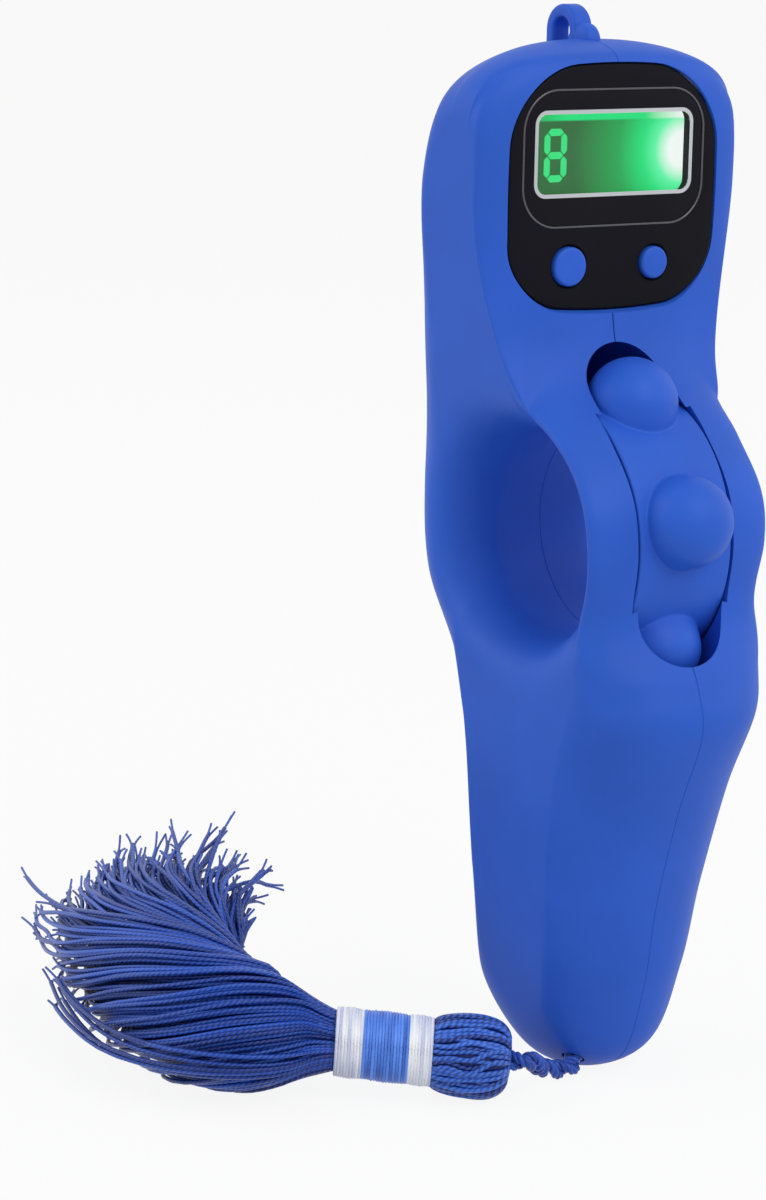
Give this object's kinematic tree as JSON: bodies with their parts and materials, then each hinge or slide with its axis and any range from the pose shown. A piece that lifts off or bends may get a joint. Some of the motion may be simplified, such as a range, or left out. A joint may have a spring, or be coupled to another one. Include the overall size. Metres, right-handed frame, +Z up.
{
  "type": "digital tally counter",
  "caption": "Hand-held digital tally counter: two-part case with a finger hole, a bead wheel turned by the thumb, a lit display with push buttons, a loop lug and a tassel.",
  "frame": {"origin": "middle of the bottom of the case's box, on the floor, with the tassel left out", "axes": "+Z up along the grip to the lug, +X to the right of the display as it is read, +Y from the display to the back"},
  "size_m": [0.0687, 0.0764, 0.1173],
  "materials": {
    "case_blue": "moulded, soft matt",
    "wheel_blue": "moulded, soft matt",
    "bezel_black": "fine matt",
    "lens_clear": "polished, printed border",
    "display_glass": "polished",
    "light_guide": "frosted",
    "lamp": "clear",
    "rubber_grey": "matt",
    "board_green": "coated",
    "resin_black": "moulded",
    "steel": "bright",
    "cell_steel": "drawn",
    "contact_brass": "bright",
    "thread_blue": "silky thread",
    "thread_white": "silky thread",
    "thread_light_blue": "silky thread"
  },
  "bodies": {
    "case": {"left_shell": "case_blue", "right_shell": "case_blue", "display_bezel": "bezel_black", "display_lens": "lens_clear", "lcd_panel": "display_glass", "backlight_plate": "light_guide", "backlight_led": "lamp", "zebra_strip": "rubber_grey", "circuit_board": "board_green", "chip_blob": "resin_black", "button_domes": "steel", "click_spring": "steel", "count_switch": "resin_black", "battery_cells": "cell_steel", "battery_contacts": "contact_brass", "case_screws": "steel", "tassel_cord": "thread_blue", "tassel_knob": "thread_blue", "binding_white": "thread_white", "binding_blue": "thread_light_blue", "tassel_skirt": "thread_blue"},
    "wheel": {"bead_wheel": "wheel_blue"},
    "light": {"light_button": "case_blue"},
    "reset": {"reset_button": "case_blue"},
    "door": {"battery_door": "case_blue", "door_screw": "steel", "contact_bridge": "contact_brass"}
  },
  "joints": [
    {"name": "wheel_turn", "type": "hinge", "parent": "case", "child": "wheel", "pos_m": [0, -0.00147, 0.06078], "axis": [1, 0, 0], "continuous": true, "deforming": ["click_spring"]},
    {"name": "light_button_press", "type": "slide", "parent": "case", "child": "light", "axis": [0, 1, 0], "range_m": [0, 0.0008], "stiffness_N_per_m": 600, "springref_m": -0.0004},
    {"name": "reset_button_press", "type": "slide", "parent": "case", "child": "reset", "axis": [0, 1, 0], "range_m": [0, 0.0008], "stiffness_N_per_m": 600, "springref_m": -0.0004},
    {"name": "door_lift", "type": "slide", "parent": "case", "child": "door", "axis": [0, 1, 0], "range_m": [0, 0.025]}
  ]
}
